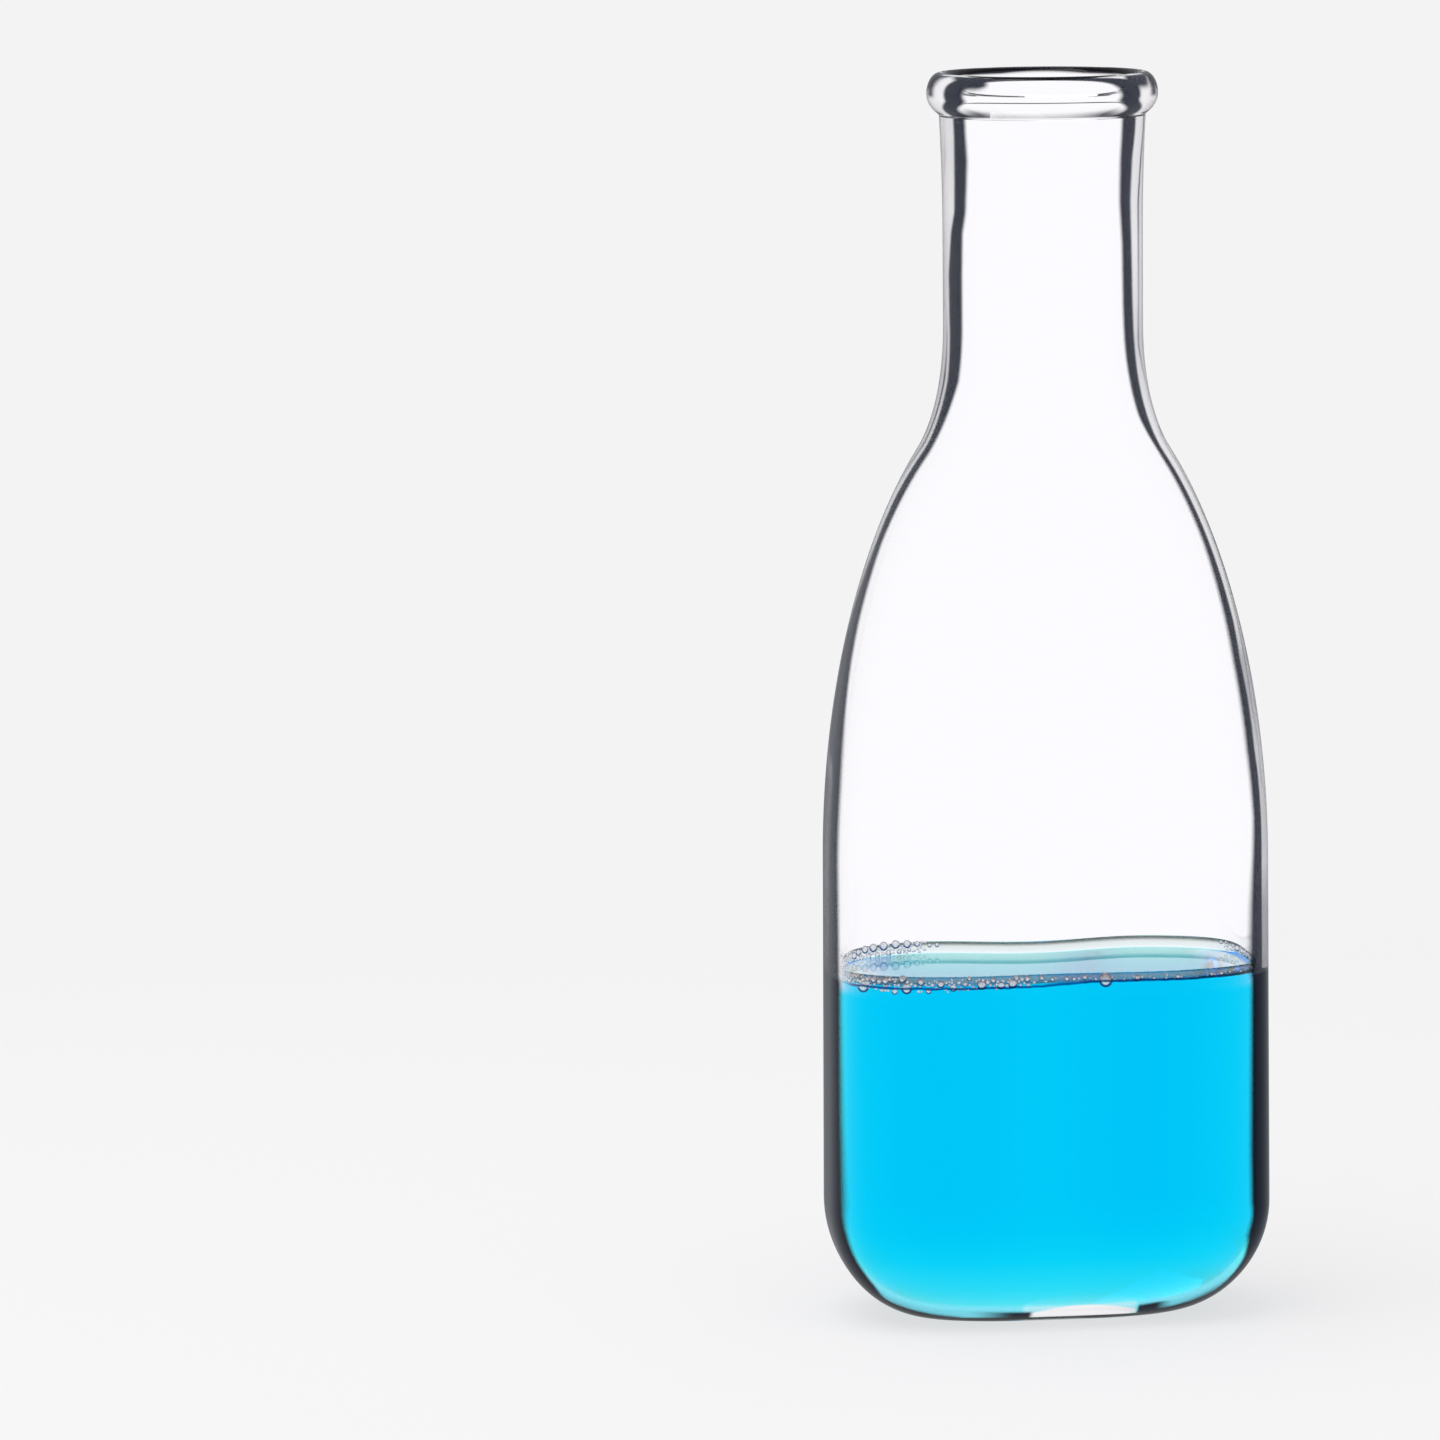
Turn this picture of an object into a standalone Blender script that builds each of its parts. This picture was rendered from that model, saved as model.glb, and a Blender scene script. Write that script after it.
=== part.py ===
"""Cell culture bottle: one blown piece of clear glass with a flattened body, ogive shoulders and a rolled lip,
holding culture medium with a meniscus and a few strings of foam.

Metres, +Z up. The origin is the middle of the base on the surface that the bottle stands on.
X runs along the broad faces, and the front face looks towards -Y.
"""

import math

import bmesh
import bpy

# Overall sizes of the glass
HEIGHT = 0.240
BODY_WIDTH = 0.0856
SHOULDER_WIDTH = 0.0850
BODY_DEPTH = 0.0486
NECK_DIAMETER = 0.0382
LIP_DIAMETER = 0.0441
MOUTH_DIAMETER = 0.0336

# Glass thickness: body and neck walls, and the heavier floor
WALL = 0.0021
FLOOR = 0.0026

# Heel: the round corner between the wall and the base, wide at the ends and tight along the broad faces
HEEL_RUN_ENDS = 0.0199
HEEL_RUN_FACES = 0.0146
HEEL_RISE = 0.0222

# Base: a flat land to stand on round a pushed-up middle
REST_LAND = 0.0026
PUSH_UP = 0.0028

# Broad faces sink a little between their edges, the rear one more than the front one
FRONT_HOLLOW = 0.0012
REAR_HOLLOW = 0.0036
HOLLOW_HALF_WIDTH = 0.0240

# Section of the body: the exponent of its rounded rectangle, where 2 is an ellipse
BODY_EXPONENT = 3.3
BASE_EXPONENT = 2.65
ROUND_EXPONENT = 2.0

# Shoulder: a quarter of an ellipse that starts at the top of the straight wall and is cut off by the neck's sweep
STRAIGHT_TOP = 0.0884
SHOULDER_REACH = 0.0970
SHOULDER_CUT = 0.0796
SWEEP_HEIGHT = 0.0240
SWEEP_LOWER_PULL = 0.0055
SWEEP_UPPER_PULL = 0.0100

# Neck: a slight waist that flares towards the lip
NECK_WAIST_BELOW_TOP = 0.0300
NECK_FLARE = 0.0006

# Lip: the rolled bead round the mouth
LIP_HEIGHT = 0.0092
LIP_CREST_HEIGHT = 0.0040
LIP_UNDERCUT_POWER = 2.2

# Culture medium: level of its flat middle, and the rim that climbs the glass
MEDIUM_LEVEL = 0.0652
MENISCUS_RISE = 0.0024
MENISCUS_FADE = 0.0016
MENISCUS_REACH = 0.0080
MENISCUS_CROWDING = 1.6
RIM_LAND = 0.0003

# Foam: strings of beads lying in the corner between the medium and the glass, between bearings in degrees
# about +Z from +X. The pitch counts in bead radii, and the waist between two beads is a share of their radius
FRONT_BEAD_RADIUS = 0.0009
REAR_BEAD_RADIUS = 0.0012
SIDE_BEAD_RADIUS = 0.0008
LARGE_BUBBLE_RADIUS = 0.0013
BEAD_PITCH = 2.0
BEAD_WAIST = 0.55
FRONT_FOAM_START = 192.0
FRONT_FOAM_END = 270.0
REAR_FOAM_START = 114.0
REAR_FOAM_END = 158.0
SIDE_FOAM_START = 28.0
SIDE_FOAM_END = 38.0
LARGE_BUBBLE_BEARING = 281.0

# Clearance between two pieces that touch on the real bottle
CLEARANCE = 0.0003

# Fineness of the surfaces
RING_POINTS = 48
FLOOR_STEPS = 5
HEEL_STEPS = 8
STRAIGHT_STEPS = 3
SHOULDER_STEPS = 13
SWEEP_STEPS = 8
NECK_STEPS = 5
UNDERCUT_STEPS = 5
CREST_STEPS = 6
THROAT_STEPS = 4
MENISCUS_STEPS = 7
POINTS_PER_BEAD = 4
BUBBLE_STEPS = 10
SMOOTH_ANGLE = 35.0


# Outer form of the glass

def shoulder_cut_height():
    """Height at which the neck's sweep takes over from the shoulder."""
    return STRAIGHT_TOP + SHOULDER_CUT


def sweep_top():
    """Height at which the sweep has turned into the straight neck."""
    return shoulder_cut_height() + SWEEP_HEIGHT


def lip_bottom():
    """Height of the crease under the rolled lip."""
    return HEIGHT - LIP_HEIGHT


def shoulder_share(height):
    """Share of the shoulder's width that its ellipse leaves at a height, 1 at the top of the straight wall."""
    climb = max(height - STRAIGHT_TOP, 0.0) / SHOULDER_REACH
    return math.sqrt(1.0 - climb * climb)


def bezier(start, pull_out, pull_in, end, t):
    """Point of a cubic curve of single numbers."""
    s = 1.0 - t
    return s ** 3 * start + 3.0 * s * s * t * pull_out + 3.0 * s * t * t * pull_in + t ** 3 * end


def neck_radius(height):
    """Outer radius of the neck, least at its waist."""
    waist = HEIGHT - NECK_WAIST_BELOW_TOP
    rise = max(height - waist, 0.0) / (lip_bottom() - waist)
    return NECK_DIAMETER / 2.0 + NECK_FLARE * rise * rise


def ease(t):
    """Smooth step from 0 to 1 with level ends."""
    t = min(max(t, 0.0), 1.0)
    return t * t * (3.0 - 2.0 * t)


def body_exponent(height):
    """Exponent of the section: rounder at the base, then the body's, then a circle at the neck."""
    if height < HEEL_RISE:
        return BASE_EXPONENT + (BODY_EXPONENT - BASE_EXPONENT) * ease(height / HEEL_RISE)
    t = (height - STRAIGHT_TOP) / (sweep_top() - STRAIGHT_TOP)
    return BODY_EXPONENT + (ROUND_EXPONENT - BODY_EXPONENT) * ease(t)


def hollow_share(height):
    """Share of the full hollow of the broad faces: it fades at the heel and over the shoulder."""
    return ease(height / HEEL_RISE) * (1.0 - ease((height - STRAIGHT_TOP) / SHOULDER_CUT))


def section(height, half_width, half_depth, inset=0.0):
    """One ring of the bottle: its height, half sizes, exponent and hollow, drawn in by an inset."""
    return (height, half_width - inset, half_depth - inset, body_exponent(height), hollow_share(height))


def depth_from_width(half_width):
    """Half depth of the shoulder: it narrows in step with the width, down to the round neck."""
    neck = NECK_DIAMETER / 2.0
    share = (half_width - neck) / (SHOULDER_WIDTH / 2.0 - neck)
    return neck + share * (BODY_DEPTH / 2.0 - neck)


def side_outline():
    """Outer (height, half width, half depth) from the top of the heel to the crease under the lip."""
    wide = SHOULDER_WIDTH / 2.0
    points = []
    for i in range(STRAIGHT_STEPS):
        share = i / STRAIGHT_STEPS
        height = HEEL_RISE + (STRAIGHT_TOP - HEEL_RISE) * share
        half_width = BODY_WIDTH / 2.0 + (wide - BODY_WIDTH / 2.0) * share
        points.append((height, half_width, BODY_DEPTH / 2.0))
    for i in range(SHOULDER_STEPS):
        height = STRAIGHT_TOP + SHOULDER_CUT * math.sin(0.5 * math.pi * i / SHOULDER_STEPS)
        half_width = wide * shoulder_share(height)
        points.append((height, half_width, depth_from_width(half_width)))
    low = shoulder_cut_height()
    cut_share = shoulder_share(low)
    low_width = wide * cut_share
    slope = -wide * SHOULDER_CUT / (SHOULDER_REACH ** 2 * cut_share)
    neck = NECK_DIAMETER / 2.0
    for i in range(SWEEP_STEPS):
        t = i / SWEEP_STEPS
        height = bezier(low, low + SWEEP_LOWER_PULL, sweep_top() - SWEEP_UPPER_PULL, sweep_top(), t)
        half_width = bezier(low_width, low_width + slope * SWEEP_LOWER_PULL, neck, neck, t)
        points.append((height, half_width, depth_from_width(half_width)))
    for i in range(NECK_STEPS + 1):
        height = sweep_top() + (lip_bottom() - sweep_top()) * i / NECK_STEPS
        radius = neck_radius(height)
        points.append((height, radius, radius))
    return points


def heel(wall, floor):
    """Rings of the heel from the base up to the straight wall: outer with no wall, inner with wall and floor."""
    rings = []
    for i in range(HEEL_STEPS):
        angle = 0.5 * math.pi * i / HEEL_STEPS
        height = floor + (HEEL_RISE - floor) * (1.0 - math.cos(angle))
        half_width = BODY_WIDTH / 2.0 - HEEL_RUN_ENDS + (HEEL_RUN_ENDS - wall) * math.sin(angle)
        half_depth = BODY_DEPTH / 2.0 - HEEL_RUN_FACES + (HEEL_RUN_FACES - wall) * math.sin(angle)
        rings.append(section(height, half_width, half_depth))
    return rings


def pushed_up_floor(lift, inset):
    """Rings of the pushed-up base from its middle out to the flat land, lifted for the inner side of the floor."""
    half_width = BODY_WIDTH / 2.0 - HEEL_RUN_ENDS - REST_LAND - inset
    half_depth = BODY_DEPTH / 2.0 - HEEL_RUN_FACES - REST_LAND - inset
    rings = []
    for i in range(1, FLOOR_STEPS + 1):
        share = i / FLOOR_STEPS
        height = lift + PUSH_UP * (1.0 - ease(share))
        exponent = ROUND_EXPONENT + (BASE_EXPONENT - ROUND_EXPONENT) * share
        rings.append((height, half_width * share, half_depth * share, exponent, 0.0))
    return rings


def lip_outer():
    """Rings of the lip's outside: the undercut swells to the widest line, then a quarter ellipse to the crest."""
    crease = neck_radius(lip_bottom())
    widest = LIP_DIAMETER / 2.0
    crest = (widest + MOUTH_DIAMETER / 2.0) / 2.0
    widest_height = HEIGHT - LIP_CREST_HEIGHT
    rings = []
    for i in range(1, UNDERCUT_STEPS):
        share = i / UNDERCUT_STEPS
        height = lip_bottom() + (widest_height - lip_bottom()) * share
        radius = widest - (widest - crease) * (1.0 - share) ** LIP_UNDERCUT_POWER
        rings.append((height, radius, radius, ROUND_EXPONENT, 0.0))
    for i in range(CREST_STEPS + 1):
        angle = 0.5 * math.pi * i / CREST_STEPS
        height = widest_height + LIP_CREST_HEIGHT * math.sin(angle)
        radius = crest + (widest - crest) * math.cos(angle)
        rings.append((height, radius, radius, ROUND_EXPONENT, 0.0))
    return rings


def lip_inner():
    """Rings of the lip's inside, from below the crest down to the bore of the neck."""
    mouth = MOUTH_DIAMETER / 2.0
    crest = (LIP_DIAMETER / 2.0 + mouth) / 2.0
    mouth_height = HEIGHT - LIP_CREST_HEIGHT
    bore = neck_radius(lip_bottom()) - WALL
    rings = []
    for i in range(1, CREST_STEPS + 1):
        angle = 0.5 * math.pi * i / CREST_STEPS
        height = mouth_height + LIP_CREST_HEIGHT * math.cos(angle)
        radius = crest - (crest - mouth) * math.sin(angle)
        rings.append((height, radius, radius, ROUND_EXPONENT, 0.0))
    for i in range(1, THROAT_STEPS):
        share = i / THROAT_STEPS
        height = mouth_height + (lip_bottom() - mouth_height) * share
        radius = mouth + (bore - mouth) * ease(share)
        rings.append((height, radius, radius, ROUND_EXPONENT, 0.0))
    return rings


def inner_side(extra=0.0):
    """Rings of the inside of the wall, bottom to top: the outer line drawn in by the wall, square to its slope."""
    line = side_outline()
    rings = []
    for i, (height, half_width, half_depth) in enumerate(line):
        below = line[max(i - 1, 0)]
        above = line[min(i + 1, len(line) - 1)]
        slope = (above[1] - below[1]) / (above[0] - below[0])
        depth_slope = (above[2] - below[2]) / (above[0] - below[0])
        inner_width = half_width - WALL * math.hypot(1.0, slope) - extra
        inner_depth = half_depth - WALL * math.hypot(1.0, depth_slope) - extra
        rings.append(section(height, inner_width, inner_depth))
    return rings


# Turning rings into meshes

def ring_point(ring, turn):
    """Point of a ring at a turn about +Z from +X. Hollow faces sink along Y between the two edges."""
    height, half_width, half_depth, exponent, hollow = ring
    cosine = math.cos(turn)
    sine = math.sin(turn)
    size = (abs(cosine) ** exponent + abs(sine) ** exponent) ** (1.0 / exponent)
    x = half_width * cosine / size
    y = half_depth * sine / size
    if abs(x) < HOLLOW_HALF_WIDTH:
        sink = REAR_HOLLOW if sine > 0.0 else FRONT_HOLLOW
        shape = math.cos(0.5 * math.pi * x / HOLLOW_HALF_WIDTH) ** 2
        y -= math.copysign(sink * hollow * shape * min(abs(sine) / size, 1.0), sine)
    return (x, y, height)


def loft(name, rings, start_height, end_height, material):
    """Closed skin through a run of rings, with a middle point at each end. The first ring is the outer bottom."""
    mesh = bpy.data.meshes.new(name)
    build = bmesh.new()
    loops = []
    for ring in rings:
        loop = [build.verts.new(ring_point(ring, 2.0 * math.pi * i / RING_POINTS)) for i in range(RING_POINTS)]
        loops.append(loop)
    for lower, upper in zip(loops, loops[1:]):
        for i in range(RING_POINTS):
            j = (i + 1) % RING_POINTS
            build.faces.new((lower[i], lower[j], upper[j], upper[i]))
    first = build.verts.new((0.0, 0.0, start_height))
    last = build.verts.new((0.0, 0.0, end_height))
    for i in range(RING_POINTS):
        j = (i + 1) % RING_POINTS
        build.faces.new((first, loops[0][j], loops[0][i]))
        build.faces.new((last, loops[-1][i], loops[-1][j]))
    bmesh.ops.recalc_face_normals(build, faces=build.faces)
    build.to_mesh(mesh)
    build.free()
    mesh.materials.append(material)
    mesh.shade_smooth()
    mesh.set_sharp_from_angle(angle=math.radians(SMOOTH_ANGLE))
    obj = bpy.data.objects.new(name, mesh)
    bpy.context.scene.collection.objects.link(obj)
    return obj


def principled(name, colour, roughness, transmission, ior, alpha=1.0):
    """Material with a plain Principled shader."""
    material = bpy.data.materials.new(name)
    material.use_nodes = True
    shader = material.node_tree.nodes["Principled BSDF"]
    shader.inputs["Base Color"].default_value = (*colour, 1.0)
    shader.inputs["Metallic"].default_value = 0.0
    shader.inputs["Roughness"].default_value = roughness
    shader.inputs["Transmission Weight"].default_value = transmission
    shader.inputs["IOR"].default_value = ior
    shader.inputs["Alpha"].default_value = alpha
    material.diffuse_color = (*colour, alpha)
    return material


# The bottle, in one piece of glass from the pushed-up base over the rolled lip and back down the inside

def make_glass():
    """Outer skin upwards, over the lip, inner skin downwards."""
    colour = (0.93, 0.96, 0.97)
    glass = principled("clear_glass", colour, roughness=0.02, transmission=1.0, ior=1.47, alpha=0.35)
    rings = pushed_up_floor(0.0, 0.0)
    rings += heel(0.0, 0.0)
    rings += [section(*point) for point in side_outline()]
    rings += lip_outer()
    rings += lip_inner()
    rings += reversed(inner_side())
    rings += reversed(heel(WALL, FLOOR))
    rings += reversed(pushed_up_floor(FLOOR, 0.0))
    return loft("glass_bottle", rings, PUSH_UP, FLOOR + PUSH_UP, glass)


# The culture medium, filling the inside up to its level, a clearance away from the glass

def width_at(rings, height):
    """Half sizes of a run of rings at a height between two of them."""
    for lower, upper in zip(rings, rings[1:]):
        if lower[0] <= height <= upper[0]:
            share = (height - lower[0]) / (upper[0] - lower[0])
            return tuple(a + (b - a) * share for a, b in zip(lower[1:3], upper[1:3]))
    return rings[-1][1:3]


def wetted_wall():
    """Rings of the inside of the glass from the top of the floor upwards, a clearance further in."""
    wall = heel(WALL + CLEARANCE, FLOOR + CLEARANCE)
    return wall + inner_side(CLEARANCE)


def make_medium():
    """Skin up the wetted wall to the meniscus rim, then inwards and down to the flat level."""
    colour = (0.0, 0.62, 0.93)
    medium = principled("blue_medium", colour, roughness=0.0, transmission=0.9, ior=1.33, alpha=0.8)
    rim_height = MEDIUM_LEVEL + MENISCUS_RISE
    wall = wetted_wall()
    rings = pushed_up_floor(FLOOR + CLEARANCE, CLEARANCE)
    rings += [ring for ring in wall if ring[0] < rim_height - CLEARANCE]
    rim_width, rim_depth = width_at(wall, rim_height)
    rings.append(section(rim_height, rim_width, rim_depth))
    for i in range(MENISCUS_STEPS + 1):
        share = (i / MENISCUS_STEPS) ** MENISCUS_CROWDING
        run = RIM_LAND + (MENISCUS_REACH - RIM_LAND) * share
        height = meniscus_height(run)
        rings.append(section(height, rim_width, rim_depth, run))
    return loft("culture_medium", rings, FLOOR + CLEARANCE + PUSH_UP, MEDIUM_LEVEL, medium)


def meniscus_height(run):
    """Height of the medium's surface at a distance in from its rim."""
    fade = math.exp(-max(run - RIM_LAND, 0.0) / MENISCUS_FADE)
    return MEDIUM_LEVEL + MENISCUS_RISE * fade


# Foam, as strings of beads that lie on the meniscus against the glass

def bead_seat(radius):
    """Ring on which the middles of beads of one radius lie: a clearance off the glass and off the meniscus."""
    run = radius
    slope = MENISCUS_RISE / MENISCUS_FADE * math.exp(-max(run - RIM_LAND, 0.0) / MENISCUS_FADE)
    lift = (radius + CLEARANCE) * math.hypot(1.0, slope)
    height = meniscus_height(run) + lift
    wall = inner_side(CLEARANCE + radius)
    half_width, half_depth = width_at(wall, height)
    return section(height, half_width, half_depth)


def make_foam_string(name, material, radius, start, end):
    """Tube that swells and narrows bead by bead between two bearings in degrees."""
    seat = bead_seat(radius)
    first = ring_point(seat, math.radians(start))
    last = ring_point(seat, math.radians(end))
    beads = max(2, round(math.dist(first, last) / (BEAD_PITCH * radius)))
    count = beads * POINTS_PER_BEAD + 1
    curve = bpy.data.curves.new(name, "CURVE")
    curve.dimensions = "3D"
    curve.bevel_depth = radius
    curve.bevel_resolution = 2
    curve.use_fill_caps = True
    spline = curve.splines.new("POLY")
    spline.points.add(count - 1)
    for i, point in enumerate(spline.points):
        turn = math.radians(start + (end - start) * i / (count - 1))
        point.co = (*ring_point(seat, turn), 1.0)
        swell = abs(math.sin(math.pi * i / POINTS_PER_BEAD))
        point.radius = BEAD_WAIST + (1.0 - BEAD_WAIST) * swell
    curve.materials.append(material)
    obj = bpy.data.objects.new(name, curve)
    bpy.context.scene.collection.objects.link(obj)
    return obj


def make_large_bubble(material):
    """The one big bubble on the front, a ball seated like the beads."""
    mesh = bpy.data.meshes.new("large_bubble")
    build = bmesh.new()
    around = 2 * BUBBLE_STEPS
    bmesh.ops.create_uvsphere(build, u_segments=around, v_segments=BUBBLE_STEPS, radius=LARGE_BUBBLE_RADIUS)
    build.to_mesh(mesh)
    build.free()
    mesh.shade_smooth()
    mesh.materials.append(material)
    obj = bpy.data.objects.new("large_bubble", mesh)
    obj.location = ring_point(bead_seat(LARGE_BUBBLE_RADIUS), math.radians(LARGE_BUBBLE_BEARING))
    bpy.context.scene.collection.objects.link(obj)
    return obj


def main():
    """Clear the scene and build every piece."""
    for old in list(bpy.data.objects):
        bpy.data.objects.remove(old, do_unlink=True)
    make_glass()
    make_medium()
    colour = (0.84, 0.92, 0.95)
    foam = principled("foam", colour, roughness=0.1, transmission=0.6, ior=1.33, alpha=0.6)
    make_foam_string("front_foam", foam, FRONT_BEAD_RADIUS, FRONT_FOAM_START, FRONT_FOAM_END)
    make_foam_string("rear_foam", foam, REAR_BEAD_RADIUS, REAR_FOAM_START, REAR_FOAM_END)
    make_foam_string("side_foam", foam, SIDE_BEAD_RADIUS, SIDE_FOAM_START, SIDE_FOAM_END)
    make_large_bubble(foam)


main()
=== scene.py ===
"""Looks of the cell culture bottle: clear blown glass with a rolled lip, part filled with blue medium that
carries a few strings of foam, on a plain pale floor. Metres, +Z up, the front face towards -Y.
"""

import math
import random

import bpy
from mathutils import Euler, Matrix, Vector


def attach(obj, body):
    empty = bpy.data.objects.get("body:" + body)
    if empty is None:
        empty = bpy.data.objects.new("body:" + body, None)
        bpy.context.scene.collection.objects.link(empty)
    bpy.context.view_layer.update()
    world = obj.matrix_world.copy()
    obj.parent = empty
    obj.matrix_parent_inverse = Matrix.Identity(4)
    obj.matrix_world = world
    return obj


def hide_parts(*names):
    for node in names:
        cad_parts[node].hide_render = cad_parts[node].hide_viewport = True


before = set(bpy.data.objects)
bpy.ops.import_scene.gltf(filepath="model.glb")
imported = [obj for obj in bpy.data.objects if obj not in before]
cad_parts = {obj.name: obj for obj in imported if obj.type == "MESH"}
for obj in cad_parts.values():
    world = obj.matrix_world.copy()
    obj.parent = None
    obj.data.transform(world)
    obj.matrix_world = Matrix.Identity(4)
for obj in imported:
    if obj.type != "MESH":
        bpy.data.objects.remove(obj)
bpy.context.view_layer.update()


# Glass bottle. One gather of clear borosilicate glass, blown into a flattened body with ogive shoulders and
# pushed up under the base, then drawn to a round neck whose end is rolled outwards and fire-polished into
# the lip.

HEIGHT = 0.240
BODY_WIDTH = 0.0856
SHOULDER_WIDTH = 0.0850
BODY_DEPTH = 0.04838
NECK_DIAMETER = 0.0382
LIP_DIAMETER = 0.0441
MOUTH_DIAMETER = 0.0336
WALL = 0.0021
FLOOR = 0.0026
HEEL_RUN_ENDS = 0.0199
HEEL_RUN_FACES = 0.0146
HEEL_RISE = 0.0222
REST_LAND = 0.0026
PUSH_UP = 0.0028
FRONT_HOLLOW = 0.0012
REAR_HOLLOW = 0.0045
HOLLOW_HALF_WIDTH = 0.0240
BODY_EXPONENT = 3.3
BASE_EXPONENT = 2.65
ROUND_EXPONENT = 2.0
STRAIGHT_TOP = 0.0884
SHOULDER_REACH = 0.0970
SHOULDER_CUT = 0.0796
SWEEP_HEIGHT = 0.0240
SWEEP_LOWER_PULL = 0.0055
SWEEP_UPPER_PULL = 0.0100
NECK_WAIST_BELOW_TOP = 0.0300
NECK_FLARE = 0.0006
LIP_HEIGHT = 0.0080
LIP_CREST_HEIGHT = 0.0040
LIP_UNDERCUT_POWER = 2.2
CREASE_RUN = 0.0003

SHOULDER_FOOT = STRAIGHT_TOP + SHOULDER_CUT
SWEEP_TOP = SHOULDER_FOOT + SWEEP_HEIGHT
LIP_FOOT = HEIGHT - LIP_HEIGHT

RING_POINTS = 160
BASE_STEPS = 14
HEEL_STEPS = 26
WALL_STEPS = (10, 44, 22, 14)
LIP_STEPS = (14, 16, 12)


def ease(t):
    """Smooth step from 0 to 1 with level ends."""
    t = min(max(t, 0.0), 1.0)
    return t * t * (3.0 - 2.0 * t)


def pull_curve(start, pull_out, pull_in, end, t):
    """Point of a cubic curve of single numbers."""
    s = 1.0 - t
    return s ** 3 * start + 3.0 * s * s * t * pull_out + 3.0 * s * t * t * pull_in + t ** 3 * end


def shoulder_share(height):
    """Share of the shoulder's width left at a height, 1 at the top of the straight wall."""
    climb = max(height - STRAIGHT_TOP, 0.0) / SHOULDER_REACH
    return math.sqrt(1.0 - climb * climb)


def neck_radius(height):
    """Outer radius of the neck, least at its waist."""
    waist = HEIGHT - NECK_WAIST_BELOW_TOP
    rise = max(height - waist, 0.0) / (LIP_FOOT - waist)
    return NECK_DIAMETER / 2.0 + NECK_FLARE * rise * rise


def section_exponent(height):
    """Roundness of the section: soft at the base, squarest in the body, a circle at the neck."""
    if height < HEEL_RISE:
        return BASE_EXPONENT + (BODY_EXPONENT - BASE_EXPONENT) * ease(height / HEEL_RISE)
    climb = (height - STRAIGHT_TOP) / (SWEEP_TOP - STRAIGHT_TOP)
    return BODY_EXPONENT + (ROUND_EXPONENT - BODY_EXPONENT) * ease(climb)


def section_hollow(height):
    """Share of the full hollow of the broad faces, which fades at the heel and over the shoulder."""
    return ease(height / HEEL_RISE) * (1.0 - ease((height - STRAIGHT_TOP) / SHOULDER_CUT))


def section(height, half_width, half_depth):
    """One ring: height, half sizes, exponent and hollow."""
    return (height, half_width, half_depth, section_exponent(height), section_hollow(height))


def depth_from_width(half_width):
    """Half depth of the shoulder, in step with its width down to the round neck."""
    neck = NECK_DIAMETER / 2.0
    share = (half_width - neck) / (SHOULDER_WIDTH / 2.0 - neck)
    return neck + share * (BODY_DEPTH / 2.0 - neck)


def wall_outline(straight_steps, shoulder_steps, sweep_steps, neck_steps):
    """Outer (height, half width, half depth) from the top of the heel to the crease under the lip."""
    wide = SHOULDER_WIDTH / 2.0
    neck = NECK_DIAMETER / 2.0
    points = []
    for i in range(straight_steps):
        share = i / straight_steps
        height = HEEL_RISE + (STRAIGHT_TOP - HEEL_RISE) * share
        points.append((height, BODY_WIDTH / 2.0 + (wide - BODY_WIDTH / 2.0) * share, BODY_DEPTH / 2.0))
    for i in range(shoulder_steps):
        height = STRAIGHT_TOP + SHOULDER_CUT * i / shoulder_steps
        half_width = wide * shoulder_share(height)
        points.append((height, half_width, depth_from_width(half_width)))
    foot_share = shoulder_share(SHOULDER_FOOT)
    foot_width = wide * foot_share
    slope = -wide * SHOULDER_CUT / (SHOULDER_REACH ** 2 * foot_share)
    low_pull = SHOULDER_FOOT + SWEEP_LOWER_PULL
    high_pull = SWEEP_TOP - SWEEP_UPPER_PULL
    for i in range(sweep_steps):
        t = i / sweep_steps
        height = pull_curve(SHOULDER_FOOT, low_pull, high_pull, SWEEP_TOP, t)
        half_width = pull_curve(foot_width, foot_width + slope * SWEEP_LOWER_PULL, neck, neck, t)
        points.append((height, half_width, depth_from_width(half_width)))
    neck_heights = [SWEEP_TOP + (LIP_FOOT - SWEEP_TOP) * i / neck_steps for i in range(neck_steps)]
    for height in neck_heights + [LIP_FOOT - CREASE_RUN, LIP_FOOT]:
        points.append((height, neck_radius(height), neck_radius(height)))
    return points


def heel_rings(wall, floor):
    """Rings of the round corner between the base and the wall, drawn in by a wall and lifted by a floor."""
    rings = []
    for i in range(HEEL_STEPS):
        angle = 0.5 * math.pi * i / HEEL_STEPS
        height = floor + (HEEL_RISE - floor) * (1.0 - math.cos(angle))
        half_width = BODY_WIDTH / 2.0 - HEEL_RUN_ENDS + (HEEL_RUN_ENDS - wall) * math.sin(angle)
        half_depth = BODY_DEPTH / 2.0 - HEEL_RUN_FACES + (HEEL_RUN_FACES - wall) * math.sin(angle)
        rings.append(section(height, half_width, half_depth))
    return rings


def base_rings(lift, inset):
    """Rings of the pushed-up base from its middle out to the flat land."""
    half_width = BODY_WIDTH / 2.0 - HEEL_RUN_ENDS - REST_LAND - inset
    half_depth = BODY_DEPTH / 2.0 - HEEL_RUN_FACES - REST_LAND - inset
    rings = []
    for i in range(1, BASE_STEPS + 1):
        share = i / BASE_STEPS
        exponent = ROUND_EXPONENT + (BASE_EXPONENT - ROUND_EXPONENT) * share
        height = lift + PUSH_UP * (1.0 - ease(share))
        rings.append((height, half_width * share, half_depth * share, exponent, 0.0))
    return rings


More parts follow.
